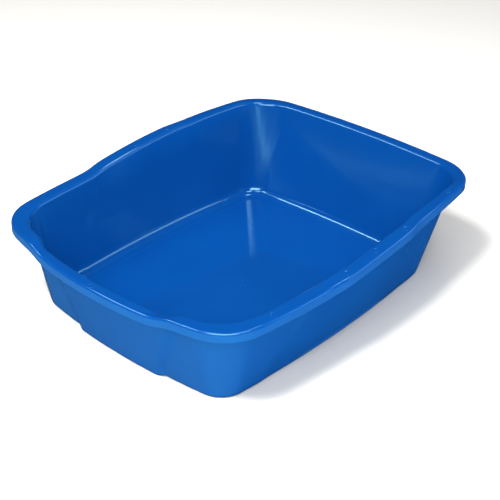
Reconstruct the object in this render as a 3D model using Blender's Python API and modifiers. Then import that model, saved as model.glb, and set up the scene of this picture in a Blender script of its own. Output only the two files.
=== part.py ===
"""Open litter pan: one injection-moulded shell with a lowered entry side and raised back.

Metres, +Z up.  The pan stands on z = 0, centred on x = y = 0.
The low entry side faces -Y, the high back faces +Y, and the left and right halves mirror.
"""
import math

import bmesh
import bpy
from mathutils import Vector

# ---- overall ---------------------------------------------------------------------------------
HALF_LENGTH = 0.273          # rim, centre to the front and to the back edge
WALL = 0.0025                # moulded wall thickness
RIM_ENTRY = 0.1175           # rim height over the entry panel
RIM_CORNER = 0.1240          # rim height at the front corners and front half of the sides
RIM_HIGH = 0.1412            # rim height where the sides reach the back corners
RIM_BACK = 0.1375            # rim height along the back
SKIRT = 0.0125               # depth of the turned-down rim skirt, from the rim's top
FOOT_RADIUS = 0.016          # inside radius between floor and wall
FOOT_EDGE = 0.0045           # outside radius along the bottom edge, so the shell is thicker there
MOUTH_ROUND = 0.0045         # rounding where the wall turns into the flange
RIM_ROUND = 0.0035           # rounding where the flange turns into the skirt
HEM_ROUND = 0.0006           # broken edge round the bottom of the skirt

# ---- where the rim changes height -------------------------------------------------------------
DIP_FROM = 0.085             # half-width of the lowered entry
DIP_TO = 0.130               # where the entry dip has risen to the corner height
RISE_FROM = -0.088           # where the sides start to climb
RISE_TO = 0.165              # where they reach the back's height
RISE_SOFT = 0.018            # how softly the climb starts
FALL_FROM = 0.200            # where the rim eases down again, round the back corners
FALL_TO = 0.262

# ---- plan outlines: rim edge, mouth (top of the wall) and foot (where wall and floor planes meet)
RIM = dict(width=0.2215, front=HALF_LENGTH, back=HALF_LENGTH, bow_front=0.64, bow_back=1.45,
           bow_side_f=1.60, bow_side_b=1.25, corner_f=0.068, corner_b=0.070,
           panel=0.095, panel_end=0.130, panel_step=0.0, side_y=0.0,
           f_out=-0.090, f_in=-0.055, b_in=0.062, b_out=0.100, side_step=-0.0030)
MOUTH = dict(width=0.2010, front=0.2565, back=0.2560, bow_front=0.68, bow_back=1.45,
             bow_side_f=1.55, bow_side_b=1.70, corner_f=0.062, corner_b=0.060,
             panel=0.106, panel_end=0.134, panel_step=0.0045, side_y=0.004,
             f_out=-0.090, f_in=-0.055, b_in=0.070, b_out=0.105, side_step=-0.0025)
FOOT = dict(width=0.1747, front=0.2310, back=0.2050, bow_front=1.00, bow_back=2.00,
            bow_side_f=1.67, bow_side_b=1.67, corner_f=0.034, corner_b=0.036,
            panel=0.064, panel_end=0.076, panel_step=0.0056, side_y=-0.012,
            f_out=-0.158, f_in=-0.142, b_in=0.135, b_out=0.152, side_step=0.0010)

# ---- mesh columns along each stretch of the half outline, front centre to back centre ---------
COLUMNS = dict(panel=5, jog=4, front=3, corner_f=7, side_f=4, ramp_f=3, side=5, ramp_b=3,
               side_b=3, corner_b=7, back=6)
FOOT_RINGS = 7
WALL_RINGS = 3


def ease(t):
    """Smooth step from 0 to 1."""
    t = min(max(t, 0.0), 1.0)
    return t * t * (3.0 - 2.0 * t)


def rim_height(x, y):
    """Height of the rim above a plan position."""
    low = RIM_CORNER
    if y < -0.1:
        dip = ease((abs(x) - DIP_FROM) / (DIP_TO - DIP_FROM))
        low = RIM_ENTRY + (RIM_CORNER - RIM_ENTRY) * dip
    run = y - RISE_FROM
    if run < -RISE_SOFT:
        run = 0.0
    elif run < RISE_SOFT:
        run = (run + RISE_SOFT) ** 2 / (4.0 * RISE_SOFT)
    t = min(run / (RISE_TO - RISE_FROM), 1.0)
    fall = (RIM_HIGH - RIM_BACK) * ease((y - FALL_FROM) / (FALL_TO - FALL_FROM))
    return low + (RIM_HIGH - RIM_CORNER) * (1.0 - (1.0 - t) ** 2) - fall


def front_y(d, x):
    """Front line of an outline: a bowed panel that steps back to the corner columns."""
    step = d["panel_step"] * ease((abs(x) - d["panel"]) / (d["panel_end"] - d["panel"]))
    return -d["front"] + x * x / (2.0 * d["bow_front"]) + step


def back_y(d, x):
    """Back line of an outline."""
    return d["back"] - x * x / (2.0 * d["bow_back"])


def side_x(d, y):
    """Side line of an outline: bowed, with a middle panel offset from the corner columns."""
    v = y - d["side_y"]
    bow = d["bow_side_f"] if v < 0.0 else d["bow_side_b"]
    panel = ease((y - d["f_out"]) / (d["f_in"] - d["f_out"]))
    panel *= ease((d["b_out"] - y) / (d["b_out"] - d["b_in"]))
    return d["width"] - v * v / (2.0 * bow) - d["side_step"] * panel


def slope(fn, d, t):
    """Slope of an outline's line."""
    h = 0.0002
    return (fn(d, t + h) - fn(d, t - h)) / (2.0 * h)


def corner(d, end_fn, radius, sign):
    """Corner arc tangent to the side line and to the front (sign -1) or back (sign +1) line."""
    x = d["width"] - radius
    y = sign * (d["front"] if sign < 0 else d["back"]) - sign * radius
    for _ in range(60):
        m = slope(end_fn, d, x)
        n = Vector((m, -1.0)).normalized() * (1.0 if sign < 0 else -1.0)
        c_end = Vector((x, end_fn(d, x))) - n * radius
        s = slope(side_x, d, y)
        n_side = Vector((1.0, -s)).normalized()
        c_side = Vector((side_x(d, y), y)) - n_side * radius
        x += 0.7 * (c_side.x - c_end.x)
        y += 0.7 * (c_end.y - c_side.y)
    a_end = math.atan2(n.y, n.x)
    a_side = math.atan2(n_side.y, n_side.x)
    return (c_end + c_side) / 2.0, x, y, a_end, a_side


def spread(a, b, count):
    """count values from a towards b, b left out."""
    return [a + (b - a) * i / count for i in range(count)]


def half_outline(d):
    """Right half of an outline, front centre to back centre, one point for each mesh column."""
    c_f, x_f, y_f, end_f, side_f = corner(d, front_y, d["corner_f"], -1)
    c_b, x_b, y_b, end_b, side_b = corner(d, back_y, d["corner_b"], 1)
    n = COLUMNS
    pts = [(x, front_y(d, x)) for x in spread(0.0, d["panel"], n["panel"])]
    pts += [(x, front_y(d, x)) for x in spread(d["panel"], d["panel_end"], n["jog"])]
    pts += [(x, front_y(d, x)) for x in spread(d["panel_end"], x_f, n["front"])]
    for a in spread(end_f, side_f, n["corner_f"]):
        pts.append((c_f.x + d["corner_f"] * math.cos(a), c_f.y + d["corner_f"] * math.sin(a)))
    stops = [y_f, d["f_out"], d["f_in"], d["b_in"], d["b_out"], y_b]
    runs = [n["side_f"], n["ramp_f"], n["side"], n["ramp_b"], n["side_b"]]
    for a, b, count in zip(stops, stops[1:], runs):
        pts += [(side_x(d, y), y) for y in spread(a, b, count)]
    for a in spread(side_b, end_b, n["corner_b"]):
        pts.append((c_b.x + d["corner_b"] * math.cos(a), c_b.y + d["corner_b"] * math.sin(a)))
    pts += [(x, back_y(d, x)) for x in spread(x_b, 0.0, n["back"])]
    pts.append((0.0, back_y(d, 0.0)))
    return pts


def inward_normals():
    """Inward plan direction at each column of the foot, smooth across its panel steps."""
    line = half_outline(dict(FOOT, panel_step=0.0, side_step=0.0))
    line = [(-line[1][0], line[1][1])] + line + [(-line[-2][0], line[-2][1])]
    pairs = zip(line, line[2:])
    return [Vector((y0 - y1, x1 - x0, 0.0)).normalized() for (x0, y0), (x1, y1) in pairs]


def foot_thickness(a, turn):
    """Thickness through the foot at angle a of its turn, from inner arc to the outer edge.

    The underside stays flat and the outer wall straight until they meet in a tighter edge.
    """
    reach = FOOT_RADIUS + WALL
    flat = reach / math.cos(min(a, turn - a))
    inset = (reach - FOOT_EDGE) / math.cos(turn / 2.0)
    off = abs(a - turn / 2.0)
    inside = FOOT_EDGE ** 2 - (inset * math.sin(off)) ** 2
    if inside > 0.0:
        flat = min(flat, inset * math.cos(off) + math.sqrt(inside))
    return flat - FOOT_RADIUS


def half_rings():
    """Right half of each section ring, from the edge of the flat floor out to the skirt.

    Each point comes with the shell's thickness there.
    """
    outlines = [half_outline(d) for d in (RIM, MOUTH, FOOT)]
    rings = [[] for _ in range(FOOT_RINGS + WALL_RINGS + 2)]
    for (rx, ry), (mx, my), (fx, fy), n in zip(*outlines, inward_normals()):
        top = rim_height(rx, ry)
        low = Vector((fx, fy, WALL))
        high = Vector((mx, my, top))
        rise = (high - low) / (top - WALL)
        half_turn = (math.pi / 2.0 - math.atan(-rise.dot(n))) / 2.0
        cut = FOOT_RADIUS * math.tan(half_turn)
        centre = low + n * cut + Vector((0.0, 0.0, FOOT_RADIUS))
        end = low + rise * cut * math.sin(2.0 * half_turn)
        skew = end - (low - n * cut * math.cos(2.0 * half_turn))
        skew.z = 0.0
        skew -= n * skew.dot(n)
        for k in range(FOOT_RINGS):
            share = k / (FOOT_RINGS - 1.0)
            a = 2.0 * half_turn * share
            spoke = Vector((-n.x * math.sin(a), -n.y * math.sin(a), -math.cos(a)))
            point = centre + spoke * FOOT_RADIUS + skew * share
            rings[k].append((point, foot_thickness(a, 2.0 * half_turn)))
        for k in range(WALL_RINGS):
            rings[FOOT_RINGS + k].append((end.lerp(high, (k + 1.0) / WALL_RINGS), WALL))
        rings[-2].append((Vector((rx, ry, top)), WALL))
        rings[-1].append((Vector((rx, ry, top - SKIRT)), WALL))
    for ring in rings:
        ring[0][0].x = 0.0
        ring[-1][0].x = 0.0
    return rings


def build_pan(collection):
    """The shell: right half of the upper surface lofted ring to ring, mirrored, rounded, thickened."""
    rings = half_rings()
    columns = len(rings[0])
    bm = bmesh.new()
    rows = [[bm.verts.new(point) for point, _ in ring] for ring in rings]
    bm.faces.new(rows[0])
    for inner, outer in zip(rows, rows[1:]):
        for i in range(columns - 1):
            bm.faces.new((inner[i + 1], inner[i], outer[i], outer[i + 1]))
    mesh = bpy.data.meshes.new("litter_pan")
    bm.to_mesh(mesh)
    bm.free()
    pan = bpy.data.objects.new("litter_pan", mesh)
    collection.objects.link(pan)
    mesh.shade_smooth()
    mesh.set_sharp_from_angle(angle=math.radians(35.0))

    deepest = max(thick for ring in rings for _, thick in ring)
    gauge = pan.vertex_groups.new(name="gauge")
    for k, ring in enumerate(rings):
        for i, (_, thick) in enumerate(ring):
            gauge.add([k * columns + i], thick / deepest, "REPLACE")
    mouth = pan.vertex_groups.new(name="mouth")
    first = columns * (FOOT_RINGS + WALL_RINGS - 1)
    mouth.add(list(range(first, first + columns)), 1.0, "REPLACE")
    rim = pan.vertex_groups.new(name="rim")
    rim.add(list(range(first + columns, first + 2 * columns)), 1.0, "REPLACE")

    mirror = pan.modifiers.new("Left half", "MIRROR")
    mirror.use_axis = (True, False, False)
    mirror.merge_threshold = 0.0001

    for name, group, width, segments in (("Mouth round", "mouth", MOUTH_ROUND, 3),
                                         ("Rim round", "rim", RIM_ROUND, 3)):
        bevel = pan.modifiers.new(name, "BEVEL")
        bevel.limit_method = "VGROUP"
        bevel.vertex_group = group
        bevel.offset_type = "OFFSET"
        bevel.width = width
        bevel.segments = segments
        bevel.use_clamp_overlap = True
    shell = pan.modifiers.new("Wall", "SOLIDIFY")
    shell.thickness = deepest
    shell.vertex_group = "gauge"
    shell.offset = -1.0
    shell.use_even_offset = False
    shell.use_quality_normals = True
    hem = pan.modifiers.new("Hem", "BEVEL")
    hem.limit_method = "ANGLE"
    hem.angle_limit = math.radians(60.0)
    hem.offset_type = "OFFSET"
    hem.width = HEM_ROUND
    hem.segments = 1
    return pan


def plastic(name, color):
    """Glossy moulded polypropylene."""
    mat = bpy.data.materials.new(name)
    mat.use_nodes = True
    shader = mat.node_tree.nodes["Principled BSDF"]
    shader.inputs["Base Color"].default_value = color
    shader.inputs["Roughness"].default_value = 0.22
    shader.inputs["IOR"].default_value = 1.49
    mat.diffuse_color = color
    return mat


def main():
    for obj in list(bpy.data.objects):
        bpy.data.objects.remove(obj, do_unlink=True)
    collection = bpy.data.collections.new("open_litter_pan")
    bpy.context.scene.collection.children.link(collection)
    pan = build_pan(collection)
    pan.data.materials.append(plastic("litter_pan", (0.010, 0.110, 0.430, 1.0)))


main()
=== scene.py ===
"""Looks for the open litter pan: a finely built glossy shell, studio floor, lights and camera."""
import math

import bmesh
import bpy
from mathutils import Matrix, Vector


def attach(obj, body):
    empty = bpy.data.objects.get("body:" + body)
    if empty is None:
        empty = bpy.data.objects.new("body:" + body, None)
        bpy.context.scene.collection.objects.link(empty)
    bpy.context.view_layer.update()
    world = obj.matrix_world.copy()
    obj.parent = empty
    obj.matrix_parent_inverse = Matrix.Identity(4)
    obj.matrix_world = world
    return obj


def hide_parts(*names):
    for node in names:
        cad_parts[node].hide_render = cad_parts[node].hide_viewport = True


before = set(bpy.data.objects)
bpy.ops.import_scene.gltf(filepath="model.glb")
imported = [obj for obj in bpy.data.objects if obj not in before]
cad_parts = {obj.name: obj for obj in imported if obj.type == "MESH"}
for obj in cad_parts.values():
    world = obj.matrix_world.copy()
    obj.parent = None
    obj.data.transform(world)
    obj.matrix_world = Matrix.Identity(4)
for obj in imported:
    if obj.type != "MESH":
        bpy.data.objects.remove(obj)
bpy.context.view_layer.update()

# ---- the pan's dimensions, in metres, as in the CAD -------------------------------------------
HALF_LENGTH = 0.273          # rim, centre to the front and to the back edge
WALL = 0.0025                # moulded wall thickness
RIM_ENTRY = 0.1175           # rim height over the entry panel
RIM_CORNER = 0.1240          # rim height at the front corners and front half of the sides
RIM_HIGH = 0.1412            # rim height where the sides reach the back corners
RIM_BACK = 0.1375            # rim height along the back
SKIRT = 0.0125               # depth of the turned-down rim skirt, from the rim's top
FOOT_RADIUS = 0.016          # inside radius between floor and wall
FOOT_EDGE = 0.0045           # outside radius along the bottom edge
MOUTH_ROUND = 0.0045         # rounding where the wall turns into the flange
RIM_ROUND = 0.0035           # rounding where the flange turns into the skirt
HEM_ROUND = 0.0006           # broken edge round the bottom of the skirt
DIP_FROM, DIP_TO = 0.085, 0.130            # where the entry dip rises to the corner height
RISE_FROM, RISE_TO = -0.088, 0.165         # where the sides climb
RISE_SOFT = 0.018                          # how softly the climb starts
FALL_FROM, FALL_TO = 0.200, 0.262          # where the rim eases down round the back corners

RIM = dict(width=0.2215, front=HALF_LENGTH, back=HALF_LENGTH, bow_front=0.64, bow_back=1.45,
           bow_side_f=1.60, bow_side_b=1.25, corner_f=0.068, corner_b=0.070,
           panel=0.095, panel_end=0.130, panel_step=0.0, side_y=0.0,
           f_out=-0.090, f_in=-0.055, b_in=0.062, b_out=0.100, side_step=-0.0030)
MOUTH = dict(width=0.2010, front=0.2565, back=0.2560, bow_front=0.68, bow_back=1.45,
             bow_side_f=1.55, bow_side_b=1.70, corner_f=0.062, corner_b=0.060,
             panel=0.106, panel_end=0.134, panel_step=0.0045, side_y=0.004,
             f_out=-0.090, f_in=-0.055, b_in=0.070, b_out=0.105, side_step=-0.0025)
FOOT = dict(width=0.1747, front=0.2310, back=0.2050, bow_front=1.00, bow_back=2.00,
            bow_side_f=1.67, bow_side_b=1.67, corner_f=0.034, corner_b=0.036,
            panel=0.064, panel_end=0.076, panel_step=0.0056, side_y=-0.012,
            f_out=-0.158, f_in=-0.142, b_in=0.135, b_out=0.152, side_step=0.0010)

# ---- mesh columns along each stretch of the half outline, and where rings lie across each part ---
COLUMNS = dict(panel=22, jog=16, front=8, corner_f=26, side_f=14, ramp_f=10, side=22, ramp_b=10,
               side_b=10, corner_b=26, back=26)
FLOOR_SHARES = (0.12, 0.25, 0.4, 0.55, 0.7, 0.82, 0.9, 0.95, 0.98)
FOOT_RINGS = 17
WALL_SHARES = (0.02, 0.1, 0.3, 0.5, 0.7, 0.9, 0.98, 1.0)
FLANGE_SHARES = (0.06, 0.35, 0.65, 0.94)
SKIRT_SHARES = (0.08, 0.5, 1.0)
ROUND_STEPS = 8

# ---- the floor's shallow sunk panel: distance in from the foot, and drop below the margin --------
PANEL_DROP = 0.00055
FLOOR_STEP = ((0.0010, 0.0), (0.0036, 0.0), (0.0042, 0.00010), (0.0050, 0.00045), (0.0056, PANEL_DROP),
              (0.0070, PANEL_DROP))

# ---- marks that the mould leaves ---------------------------------------------------------------
MARK_ROOT = -0.0004          # how far a mark's base is buried in the plastic
PIN_RADIUS = 0.0044
PIN_PROFILE = ((PIN_RADIUS, MARK_ROOT), (PIN_RADIUS, 0.00012), (PIN_RADIUS - 0.00015, 0.00026),
               (PIN_RADIUS - 0.0005, 0.00030), (PIN_RADIUS - 0.0009, 0.00020),
               (PIN_RADIUS - 0.0011, 0.00006), (0.0012, 0.00006))
GATE_PROFILE = ((0.0024, MARK_ROOT), (0.0024, 0.00012), (0.0021, 0.0004), (0.0012, 0.00052),
                (0.0005, 0.00055))
GATE = (0.001, -0.004)
PIN_SIDES = ((0.2025, -0.172), (0.2135, -0.051), (0.2135, 0.005), (0.2130, 0.067), (0.1998, 0.182))
PIN_CENTRES = (-0.2650, 0.2650)

# ---- the plastic -------------------------------------------------------------------------------
BLUE_DEEP = (0.0014, 0.060, 0.283, 1.0)
BLUE_PALE = (0.0018, 0.068, 0.306, 1.0)
ROUGHNESS = (0.085, 0.125)           # cleanest and most smudged
SCUFF_ROUGHNESS = 0.06               # what a scuff adds
SCUFF_STRETCH = (1.0, 0.05, 1.0)     # scuffs run along the pan

# ---- studio ------------------------------------------------------------------------------------
CAMERA_AZIMUTH = 41.82               # degrees round from straight in front of the entry, to the right
CAMERA_ELEVATION = 31.37
CAMERA_ROLL = 0.67
CAMERA_TARGET = Vector((0.0101, 0.0028, 0.0510))
CAMERA_DISTANCE = 1.5214
LENS, SENSOR = 80.78, 36.0           # millimetres
FLOOR_LEVEL = -0.0002
FLOOR_RADII = (0.5, 2.0, 8.0, 40.0)
FLOOR_SIDES = 64
LIGHTS_AIM = Vector((0.0, 0.0, 0.06))


def ease(t):
    """Smooth step from 0 to 1."""
    t = min(max(t, 0.0), 1.0)
    return t * t * (3.0 - 2.0 * t)


def rim_height(x, y):
    """Height of the rim above a plan position."""
    low = RIM_CORNER
    if y < -0.1:
        dip = ease((abs(x) - DIP_FROM) / (DIP_TO - DIP_FROM))
        low = RIM_ENTRY + (RIM_CORNER - RIM_ENTRY) * dip
    run = y - RISE_FROM
    if run < -RISE_SOFT:
        run = 0.0
    elif run < RISE_SOFT:
        run = (run + RISE_SOFT) ** 2 / (4.0 * RISE_SOFT)
    t = min(run / (RISE_TO - RISE_FROM), 1.0)
    fall = (RIM_HIGH - RIM_BACK) * ease((y - FALL_FROM) / (FALL_TO - FALL_FROM))
    return low + (RIM_HIGH - RIM_CORNER) * (1.0 - (1.0 - t) ** 2) - fall


def front_y(d, x):
    """Front line of an outline: a bowed panel that steps back to the corner columns."""
    step = d["panel_step"] * ease((abs(x) - d["panel"]) / (d["panel_end"] - d["panel"]))
    return -d["front"] + x * x / (2.0 * d["bow_front"]) + step


def back_y(d, x):
    """Back line of an outline."""
    return d["back"] - x * x / (2.0 * d["bow_back"])


def side_x(d, y):
    """Side line of an outline: bowed, with a middle panel offset from the corner columns."""
    v = y - d["side_y"]
    bow = d["bow_side_f"] if v < 0.0 else d["bow_side_b"]
    panel = ease((y - d["f_out"]) / (d["f_in"] - d["f_out"]))
    panel *= ease((d["b_out"] - y) / (d["b_out"] - d["b_in"]))
    return d["width"] - v * v / (2.0 * bow) - d["side_step"] * panel


def slope(fn, d, t):
    """Slope of an outline's line."""
    h = 0.0002
    return (fn(d, t + h) - fn(d, t - h)) / (2.0 * h)


def corner(d, end_fn, radius, sign):
    """Corner arc tangent to the side line and to the front (sign -1) or back (sign +1) line."""
    x = d["width"] - radius
    y = sign * (d["front"] if sign < 0 else d["back"]) - sign * radius
    for _ in range(60):
        m = slope(end_fn, d, x)
        n = Vector((m, -1.0)).normalized() * (1.0 if sign < 0 else -1.0)
        c_end = Vector((x, end_fn(d, x))) - n * radius
        s = slope(side_x, d, y)
        n_side = Vector((1.0, -s)).normalized()
        c_side = Vector((side_x(d, y), y)) - n_side * radius
        x += 0.7 * (c_side.x - c_end.x)
        y += 0.7 * (c_end.y - c_side.y)
    a_end = math.atan2(n.y, n.x)
    a_side = math.atan2(n_side.y, n_side.x)
    return (c_end + c_side) / 2.0, x, y, a_end, a_side


def spread(a, b, count):
    """count values from a towards b, b left out."""
    return [a + (b - a) * i / count for i in range(count)]


def half_outline(d):
    """Right half of an outline, front centre to back centre, one point for each mesh column."""
    c_f, x_f, y_f, end_f, side_f = corner(d, front_y, d["corner_f"], -1)
    c_b, x_b, y_b, end_b, side_b = corner(d, back_y, d["corner_b"], 1)
    n = COLUMNS
    pts = [(x, front_y(d, x)) for x in spread(0.0, d["panel"], n["panel"])]
    pts += [(x, front_y(d, x)) for x in spread(d["panel"], d["panel_end"], n["jog"])]
    pts += [(x, front_y(d, x)) for x in spread(d["panel_end"], x_f, n["front"])]
    for a in spread(end_f, side_f, n["corner_f"]):
        pts.append((c_f.x + d["corner_f"] * math.cos(a), c_f.y + d["corner_f"] * math.sin(a)))
    stops = [y_f, d["f_out"], d["f_in"], d["b_in"], d["b_out"], y_b]
    runs = [n["side_f"], n["ramp_f"], n["side"], n["ramp_b"], n["side_b"]]
    for a, b, count in zip(stops, stops[1:], runs):
        pts += [(side_x(d, y), y) for y in spread(a, b, count)]
    for a in spread(side_b, end_b, n["corner_b"]):
        pts.append((c_b.x + d["corner_b"] * math.cos(a), c_b.y + d["corner_b"] * math.sin(a)))
    pts += [(x, back_y(d, x)) for x in spread(x_b, 0.0, n["back"])]
    pts.append((0.0, back_y(d, 0.0)))
    return pts


def inward_normals():
    """Inward plan direction at each column of the foot, smooth across its panel steps."""
    line = half_outline(dict(FOOT, panel_step=0.0, side_step=0.0))
    line = [(-line[1][0], line[1][1])] + line + [(-line[-2][0], line[-2][1])]
    pairs = zip(line, line[2:])
    return [Vector((y0 - y1, x1 - x0, 0.0)).normalized() for (x0, y0), (x1, y1) in pairs]


def foot_thickness(a, turn):
    """Thickness through the foot at angle a of its turn, from inner arc to the outer edge."""
    reach = FOOT_RADIUS + WALL
    flat = reach / math.cos(min(a, turn - a))
    inset = (reach - FOOT_EDGE) / math.cos(turn / 2.0)
    off = abs(a - turn / 2.0)
    inside = FOOT_EDGE ** 2 - (inset * math.sin(off)) ** 2
    if inside > 0.0:
        flat = min(flat, inset * math.cos(off) + math.sqrt(inside))
    return flat - FOOT_RADIUS


def along(line, i):
    """Direction of a line of points at point i."""
    a = line[max(i - 1, 0)]
    b = line[min(i + 1, len(line) - 1)]
    return (b - a).normalized()


def round_off(before, at, after, edge, size):
    """Points of an arc that rounds the corner at, tangent to both of its sides.

    size is measured square to the edge that runs through the corner.
    """
    ends = []
    for side in (before, after):
        way = (side - at).normalized()
        across = (way - edge * way.dot(edge)).length
        ends.append(at + way * size / across)
    a, b = ends
    turn = (at - a).angle(b - at)
    weight = math.cos(turn / 2.0)
    points = []
    for k in range(ROUND_STEPS + 1):
        t = k / ROUND_STEPS
        w0, w1, w2 = (1.0 - t) ** 2, 2.0 * t * (1.0 - t) * weight, t * t
        points.append((a * w0 + at * w1 + b * w2) / (w0 + w1 + w2))
    return points


def half_columns():
    """Right half of the shell's upper surface: for each column its points, floor to skirt.

    Each point comes with the shell's thickness there.
    """
    rim, mouth, foot = (half_outline(d) for d in (RIM, MOUTH, FOOT))
    tops = [rim_height(x, y) for x, y in rim]
    rim_line = [Vector((x, y, top)) for (x, y), top in zip(rim, tops)]
    mouth_line = [Vector((x, y, top)) for (x, y), top in zip(mouth, tops)]
    columns = []
    for i, n in enumerate(inward_normals()):
        low = Vector((foot[i][0], foot[i][1], WALL))
        high = mouth_line[i]
        edge = rim_line[i]
        rise = (high - low) / (high.z - WALL)
        half_turn = (math.pi / 2.0 - math.atan(-rise.dot(n))) / 2.0
        cut = FOOT_RADIUS * math.tan(half_turn)
        centre = low + n * cut + Vector((0.0, 0.0, FOOT_RADIUS))
        end = low + rise * cut * math.sin(2.0 * half_turn)
        skew = end - (low - n * cut * math.cos(2.0 * half_turn))
        skew.z = 0.0
        skew -= n * skew.dot(n)
        column = []
        for k in range(FOOT_RINGS):
            share = k / (FOOT_RINGS - 1.0)
            a = 2.0 * half_turn * share
            spoke = Vector((-n.x * math.sin(a), -n.y * math.sin(a), -math.cos(a)))
            column.append((centre + spoke * FOOT_RADIUS + skew * share,
                           foot_thickness(a, 2.0 * half_turn)))
        drop = edge - Vector((0.0, 0.0, SKIRT))
        inner = round_off(end, high, edge, along(mouth_line, i), MOUTH_ROUND)
        outer = round_off(high, edge, drop, along(rim_line, i), RIM_ROUND)
        wall = [end.lerp(inner[0], s) for s in WALL_SHARES[:-1]]
        flange = [inner[-1].lerp(outer[0], s) for s in FLANGE_SHARES]
        skirt = [outer[-1].lerp(drop, s) for s in SKIRT_SHARES]
        for point in wall + inner + flange + outer + skirt:
            column.append((point, WALL))
        columns.append(column)
    return columns


def pan_mesh():
    """Upper surface of the right half, floor grid included, as a mesh with its thickness values."""
    columns = half_columns()
    for column in (columns[0], columns[-1]):
        for point, _ in column:
            point.x = 0.0
    bm = bmesh.new()
    gauge = []
    rows = []
    heart = (columns[0][0][0].y + columns[-1][0][0].y) / 2.0
    inward = inward_normals()
    floor_rings = [(share, *FLOOR_STEP[-1]) for share in FLOOR_SHARES]
    floor_rings += [(1.0, inset, sunk) for inset, sunk in reversed(FLOOR_STEP)]
    for share, inset, sunk in floor_rings:
        row = []
        for column, n in zip(columns, inward):
            p = column[0][0] + n * inset
            row.append(bm.verts.new((p.x * share, heart + (p.y - heart) * share, p.z - sunk)))
            gauge.append(WALL - sunk)
        rows.append(row)
    for k in range(len(columns[0])):
        row = []
        for column in columns:
            point, thick = column[k]
            row.append(bm.verts.new(point))
            gauge.append(thick)
        rows.append(row)
    bm.faces.new(rows[0])
    for inner, outer in zip(rows, rows[1:]):
        for i in range(len(columns) - 1):
            bm.faces.new((inner[i + 1], inner[i], outer[i], outer[i + 1]))
    mesh = bpy.data.meshes.new("pan_shell")
    bm.to_mesh(mesh)
    bm.free()
    mesh.shade_smooth()
    return mesh, gauge


def build_pan():
    """The shell: half surface mirrored and thickened, its hem rounded."""
    mesh, gauge = pan_mesh()
    pan = bpy.data.objects.new("pan_shell", mesh)
    bpy.context.scene.collection.objects.link(pan)
    deepest = max(gauge)
    group = pan.vertex_groups.new(name="gauge")
    for i, thick in enumerate(gauge):
        group.add([i], thick / deepest, "REPLACE")
    mirror = pan.modifiers.new("Left half", "MIRROR")
    mirror.merge_threshold = 0.00002
    shell = pan.modifiers.new("Wall", "SOLIDIFY")
    shell.thickness = deepest
    shell.vertex_group = "gauge"
    shell.offset = -1.0
    shell.use_even_offset = False
    shell.use_quality_normals = True
    hem = pan.modifiers.new("Hem", "BEVEL")
    hem.limit_method = "ANGLE"
    hem.angle_limit = math.radians(60.0)
    hem.width = HEM_ROUND
    hem.segments = 3
    weigh = pan.modifiers.new("Flat faces", "WEIGHTED_NORMAL")
    weigh.mode = "FACE_AREA"
    weigh.keep_sharp = True
    return pan


def disc(bm, place, profile, steps=28):
    """A small turned mark: profile is (radius, height) from the rim inwards, closed at its centre."""
    rings = []
    for radius, height in profile:
        ring = []
        for k in range(steps):
            a = 2.0 * math.pi * k / steps
            spot = Vector((radius * math.cos(a), radius * math.sin(a), height))
            ring.append(bm.verts.new(place @ spot))
        rings.append(ring)
    for low, high in zip(rings, rings[1:]):
        for k in range(steps):
            bm.faces.new((low[k], low[(k + 1) % steps], high[(k + 1) % steps], high[k]))
    bm.faces.new(rings[-1])
    bm.faces.new(list(reversed(rings[0])))


def flange_place(x, y):
    """Transform that sets a mark on the flange at a plan position, square to the flange's slope."""
    h = 0.001
    climb = (rim_height(x, y + h) - rim_height(x, y - h)) / (2.0 * h) if abs(x) > h else 0.0
    up = Vector((0.0, -climb, 1.0)).normalized()
    return Matrix.Translation((x, y, rim_height(x, y))) @ up.to_track_quat("Z", "Y").to_matrix().to_4x4()


def build_marks():
    """Round ejector marks on the flange, and the gate mark in the middle of the floor."""
    bm = bmesh.new()
    spots = [(side * x, y) for x, y in PIN_SIDES for side in (1.0, -1.0)]
    spots += [(0.0, y) for y in PIN_CENTRES]
    for x, y in spots:
        disc(bm, flange_place(x, y), PIN_PROFILE)
    disc(bm, Matrix.Translation((*GATE, WALL - PANEL_DROP)), GATE_PROFILE)
    mesh = bpy.data.meshes.new("mould_marks")
    bm.to_mesh(mesh)
    bm.free()
    mesh.shade_smooth()
    mesh.set_sharp_from_angle(angle=math.radians(50.0))
    marks = bpy.data.objects.new("mould_marks", mesh)
    bpy.context.scene.collection.objects.link(marks)
    return marks


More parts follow.
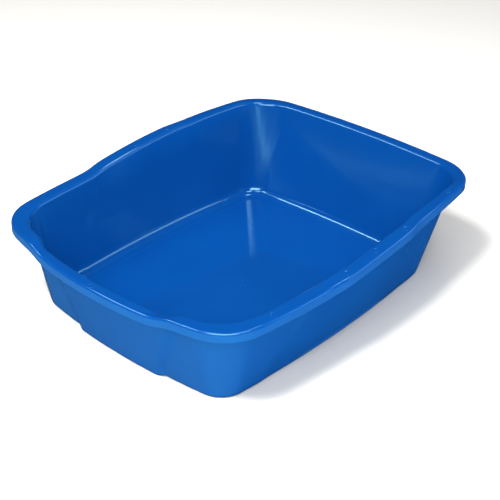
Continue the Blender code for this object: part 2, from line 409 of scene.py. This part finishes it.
class Nodes:
    """Short way to build a node tree."""

    def __init__(self, tree):
        self.tree = tree

    def add(self, kind, **inputs):
        """New node, with its inputs given by name."""
        node = self.tree.nodes.new(kind)
        for key, value in inputs.items():
            self.feed(node, key.replace("_", " "), value)
        return node

    def feed(self, node, key, value):
        """Link a socket to a node's input, or set the input's value."""
        if isinstance(value, bpy.types.NodeSocket):
            self.tree.links.new(value, node.inputs[key])
        else:
            node.inputs[key].default_value = value

    def noise(self, point, scale, detail, rough):
        """Noise value at a point, mostly between 0.3 and 0.7."""
        node = self.add("ShaderNodeTexNoise", Vector=point, Scale=scale, Detail=detail, Roughness=rough)
        return node.outputs["Fac"]

    def remap(self, value, from_low, from_high, to_low, to_high):
        """Straight, clamped change of range."""
        node = self.add("ShaderNodeMapRange", Value=value, From_Min=from_low, From_Max=from_high,
                        To_Min=to_low, To_Max=to_high)
        return node.outputs["Result"]

    def math(self, operation, a, b):
        """Sum, maximum or other operation on two values."""
        node = self.add("ShaderNodeMath")
        node.operation = operation
        self.feed(node, 0, a)
        self.feed(node, 1, b)
        return node.outputs["Value"]

    def vector_math(self, operation, a, b, output="Vector"):
        """Product, dot product or other operation on two vectors."""
        node = self.add("ShaderNodeVectorMath")
        node.operation = operation
        self.feed(node, 0, a)
        self.feed(node, 1, b)
        return node.outputs[output]

    def mix(self, factor, a, b):
        """Blend of two values."""
        node = self.add("ShaderNodeMix", Factor=factor)
        self.feed(node, 2, a)
        self.feed(node, 3, b)
        return node.outputs[0]

    def mix_colors(self, factor, a, b):
        """Blend of two colours."""
        node = self.add("ShaderNodeMix")
        node.data_type = "RGBA"
        self.feed(node, "Factor", factor)
        self.feed(node, 6, a)
        self.feed(node, 7, b)
        return node.outputs[2]


def new_material(name):
    """A material with its node builder and its shader."""
    material = bpy.data.materials.new(name)
    material.use_nodes = True
    n = Nodes(material.node_tree)
    return material, n, n.tree.nodes["Principled BSDF"]


def pan_plastic():
    """Glossy blue polypropylene with faint flow marks, fine orange peel and light scuffs."""
    material, n, shader = new_material("blue_polypropylene")
    point = n.add("ShaderNodeTexCoord").outputs["Object"]

    flow = n.remap(n.noise(point, 9.0, 3.0, 0.55), 0.3, 0.7, 0.0, 1.0)
    n.feed(shader, "Base Color", n.mix_colors(flow, BLUE_DEEP, BLUE_PALE))
    n.feed(shader, "IOR", 1.49)
    n.feed(shader, "Specular IOR Level", 1.0)
    n.feed(shader, "Specular Tint", (0.40, 0.88, 1.0, 1.0))

    smudges = n.remap(n.noise(point, 26.0, 4.0, 0.6), 0.3, 0.7, *ROUGHNESS)
    grain = n.vector_math("MULTIPLY", point, SCUFF_STRETCH)
    scuffs = n.remap(n.noise(grain, 420.0, 1.0, 0.4), 0.64, 0.74, 0.0, SCUFF_ROUGHNESS)
    n.feed(shader, "Roughness", n.math("ADD", smudges, scuffs))

    peel = n.add("ShaderNodeBump", Strength=0.06, Distance=0.0004, Height=n.noise(point, 160.0, 1.0, 0.4))
    fine = n.add("ShaderNodeBump", Strength=0.05, Distance=0.0001, Height=n.noise(point, 900.0, 2.0, 0.6))
    n.feed(fine, "Normal", peel.outputs["Normal"])
    n.feed(shader, "Normal", fine.outputs["Normal"])
    return material


def floor_paint():
    """Matt pale studio paper with a faint tooth."""
    material, n, shader = new_material("studio_paper")
    point = n.add("ShaderNodeTexCoord").outputs["Object"]
    tooth = n.noise(point, 300.0, 2.0, 0.5)
    bump = n.add("ShaderNodeBump", Strength=0.03, Distance=0.0003, Height=tooth)
    n.feed(shader, "Base Color", (0.50, 0.50, 0.50, 1.0))
    n.feed(shader, "Roughness", 0.9)
    n.feed(shader, "Specular IOR Level", 0.1)
    n.feed(shader, "Normal", bump.outputs["Normal"])
    return material


def build_floor():
    """A wide round floor just under the pan."""
    bm = bmesh.new()
    rings = []
    for radius in FLOOR_RADII:
        rings.append([bm.verts.new((radius * math.cos(a), radius * math.sin(a), FLOOR_LEVEL))
                      for a in spread(0.0, 2.0 * math.pi, FLOOR_SIDES)])
    bm.faces.new(rings[0])
    for inner, outer in zip(rings, rings[1:]):
        for k in range(FLOOR_SIDES):
            after = (k + 1) % FLOOR_SIDES
            bm.faces.new((inner[k], outer[k], outer[after], inner[after]))
    mesh = bpy.data.meshes.new("studio_floor")
    bm.to_mesh(mesh)
    bm.free()
    floor = bpy.data.objects.new("studio_floor", mesh)
    bpy.context.scene.collection.objects.link(floor)
    mesh.materials.append(floor_paint())
    floor.visible_glossy = False
    return floor


# ---- softboxes: name, degrees round from the camera's side (left is minus), elevation in degrees,
# ---- distance, width and height in metres, radiance -------------------------------------------
BOXES = (
    ("key", -30.0, 64.0, 2.2, 0.80, 0.32, 9.0),
    ("key_right", 42.0, 62.0, 2.2, 0.80, 0.32, 12.0),
    ("left", -82.0, 53.0, 2.0, 1.30, 0.20, 15.0),
    ("right", 94.0, 31.0, 2.0, 1.20, 0.45, 2.6),
    ("right_back", 150.0, 64.0, 2.0, 0.4, 0.12, 14.0),
    ("front", -4.0, 39.0, 2.2, 1.7, 0.7, 11.5),
    ("side", 74.0, 3.0, 3.0, 2.0, 0.4, 19.0),
    ("front_side", -52.0, 3.0, 3.0, 2.0, 0.4, 7.0),
    ("card_0", 34.0, 11.0, 1.7, 1.05, 0.36, 0.30),
    ("card_1", 0.0, 11.0, 1.7, 1.05, 0.36, 0.30),
    ("card_2", -34.0, 11.0, 1.7, 1.05, 0.36, 0.26),
    ("strip_0", 25.0, 16.0, 0.80, 0.40, 0.034, 2.3),
    ("strip_1", -4.0, 16.2, 0.80, 0.40, 0.034, 2.4),
    ("strip_2", -32.0, 15.0, 0.80, 0.40, 0.034, 1.9),
    ("strip_3", -60.0, 13.4, 0.80, 0.40, 0.034, 1.1),
    ("strip_4", -86.0, 11.9, 0.80, 0.36, 0.034, 0.5),
    ("fill", 180.0, 88.0, 3.0, 4.0, 4.0, 1.4),
    ("ground", -37.0, 60.0, 2.2, 0.5, 0.5, 135.0),
    ("ground_soft", 180.0, 86.0, 3.0, 4.0, 4.0, 0.30),
)
UNSEEN = ("fill", "side", "front_side", "ground", "ground_soft")     # no surface reflects these
FLOOR_ONLY = ("ground", "ground_soft")       # these light only the floor, round the pan's shadow
TINTS = dict(card=(0.60, 0.95, 1.0), strip=(0.60, 0.95, 1.0), ground=(1.0, 0.97, 0.90))
WHITE = (1.0, 1.0, 1.0, 1.0)

# ---- the room, as strengths of its light -------------------------------------------------------
BACKDROP = 0.92                              # how light its far wall looks
SKY = 0.02                                   # what the plastic reflects from above the floor's level
GROUND = 1.37                                # what it reflects from the floor, before the turn below
GROUND_TURN = (0.459, -0.752, 1.30)          # how that grows along x, y and z of the reflected ray
GROUND_LEAST = 0.05
GROUND_COLOR = (0.40, 0.92, 1.0, 1.0)
GROUND_EDGE = (-0.42, -0.25)                 # z of the ray, where the floor gives way to the room


def softbox(name, turn, elevation, distance, width, height, radiance):
    """A rectangular softbox that faces the pan.  turn is measured from the camera's side."""
    data = bpy.data.lights.new(name, "AREA")
    data.shape = "RECTANGLE"
    data.size = width
    data.size_y = height
    data.energy = radiance * math.pi * width * height
    light = bpy.data.objects.new(name, data)
    bpy.context.scene.collection.objects.link(light)
    a, e = math.radians(turn + CAMERA_AZIMUTH - 90.0), math.radians(elevation)
    way = Vector((math.cos(a) * math.cos(e), math.sin(a) * math.cos(e), math.sin(e)))
    light.location = LIGHTS_AIM + way * distance
    light.rotation_euler = way.to_track_quat("Z", "Y").to_euler()
    light.visible_camera = False
    return light


def build_lights(floor):
    """All the softboxes."""
    stage = bpy.data.collections.new("stage")
    stage.objects.link(floor)
    for box in BOXES:
        name = box[0]
        light = softbox(*box)
        light.data.color = TINTS.get(name.split("_")[0], WHITE[:3])
        light.visible_glossy = name not in UNSEEN
        if name in FLOOR_ONLY:
            light.light_linking.receiver_collection = stage


def build_world():
    """A pale room that reflects darkly above the floor's level, and brighter below it."""
    world = bpy.data.worlds.new("studio")
    bpy.context.scene.world = world
    world.use_nodes = True
    n = Nodes(world.node_tree)
    background = n.tree.nodes["Background"]
    way = n.add("ShaderNodeTexCoord").outputs["Generated"]
    height = n.add("ShaderNodeSeparateXYZ", Vector=way).outputs["Z"]
    above = n.remap(height, *GROUND_EDGE, 0.0, 1.0)
    ground = n.math("ADD", n.vector_math("DOT_PRODUCT", way, GROUND_TURN, "Value"), GROUND)
    reflected = n.mix(above, n.math("MAXIMUM", ground, GROUND_LEAST), SKY)
    seen = n.add("ShaderNodeLightPath").outputs["Is Camera Ray"]
    n.feed(background, "Strength", n.mix(seen, reflected, BACKDROP))
    n.feed(background, "Color", n.mix_colors(above, GROUND_COLOR, WHITE))


def build_camera():
    """Camera at the product view: over the right front corner, looking down."""
    azimuth, elevation, roll = (math.radians(v) for v in (CAMERA_AZIMUTH, CAMERA_ELEVATION, CAMERA_ROLL))
    back = Vector((math.sin(azimuth) * math.cos(elevation), -math.cos(azimuth) * math.cos(elevation),
                   math.sin(elevation)))
    right = Vector((math.cos(azimuth), math.sin(azimuth), 0.0))
    up = back.cross(right)
    turned = Matrix((right * math.cos(roll) + up * math.sin(roll),
                     up * math.cos(roll) - right * math.sin(roll), back)).transposed()
    data = bpy.data.cameras.new("camera")
    data.sensor_width = SENSOR
    data.lens = LENS
    camera = bpy.data.objects.new("camera", data)
    camera.matrix_world = Matrix.Translation(CAMERA_TARGET + back * CAMERA_DISTANCE) @ turned.to_4x4()
    bpy.context.scene.collection.objects.link(camera)
    bpy.context.scene.camera = camera


build_camera()
build_lights(build_floor())
build_world()
plastic = pan_plastic()
pan = build_pan()
marks = build_marks()
for piece in (pan, marks):
    piece.data.materials.append(plastic)
    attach(piece, "root")
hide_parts("litter_pan")
bpy.context.scene.view_settings.view_transform = "Standard"
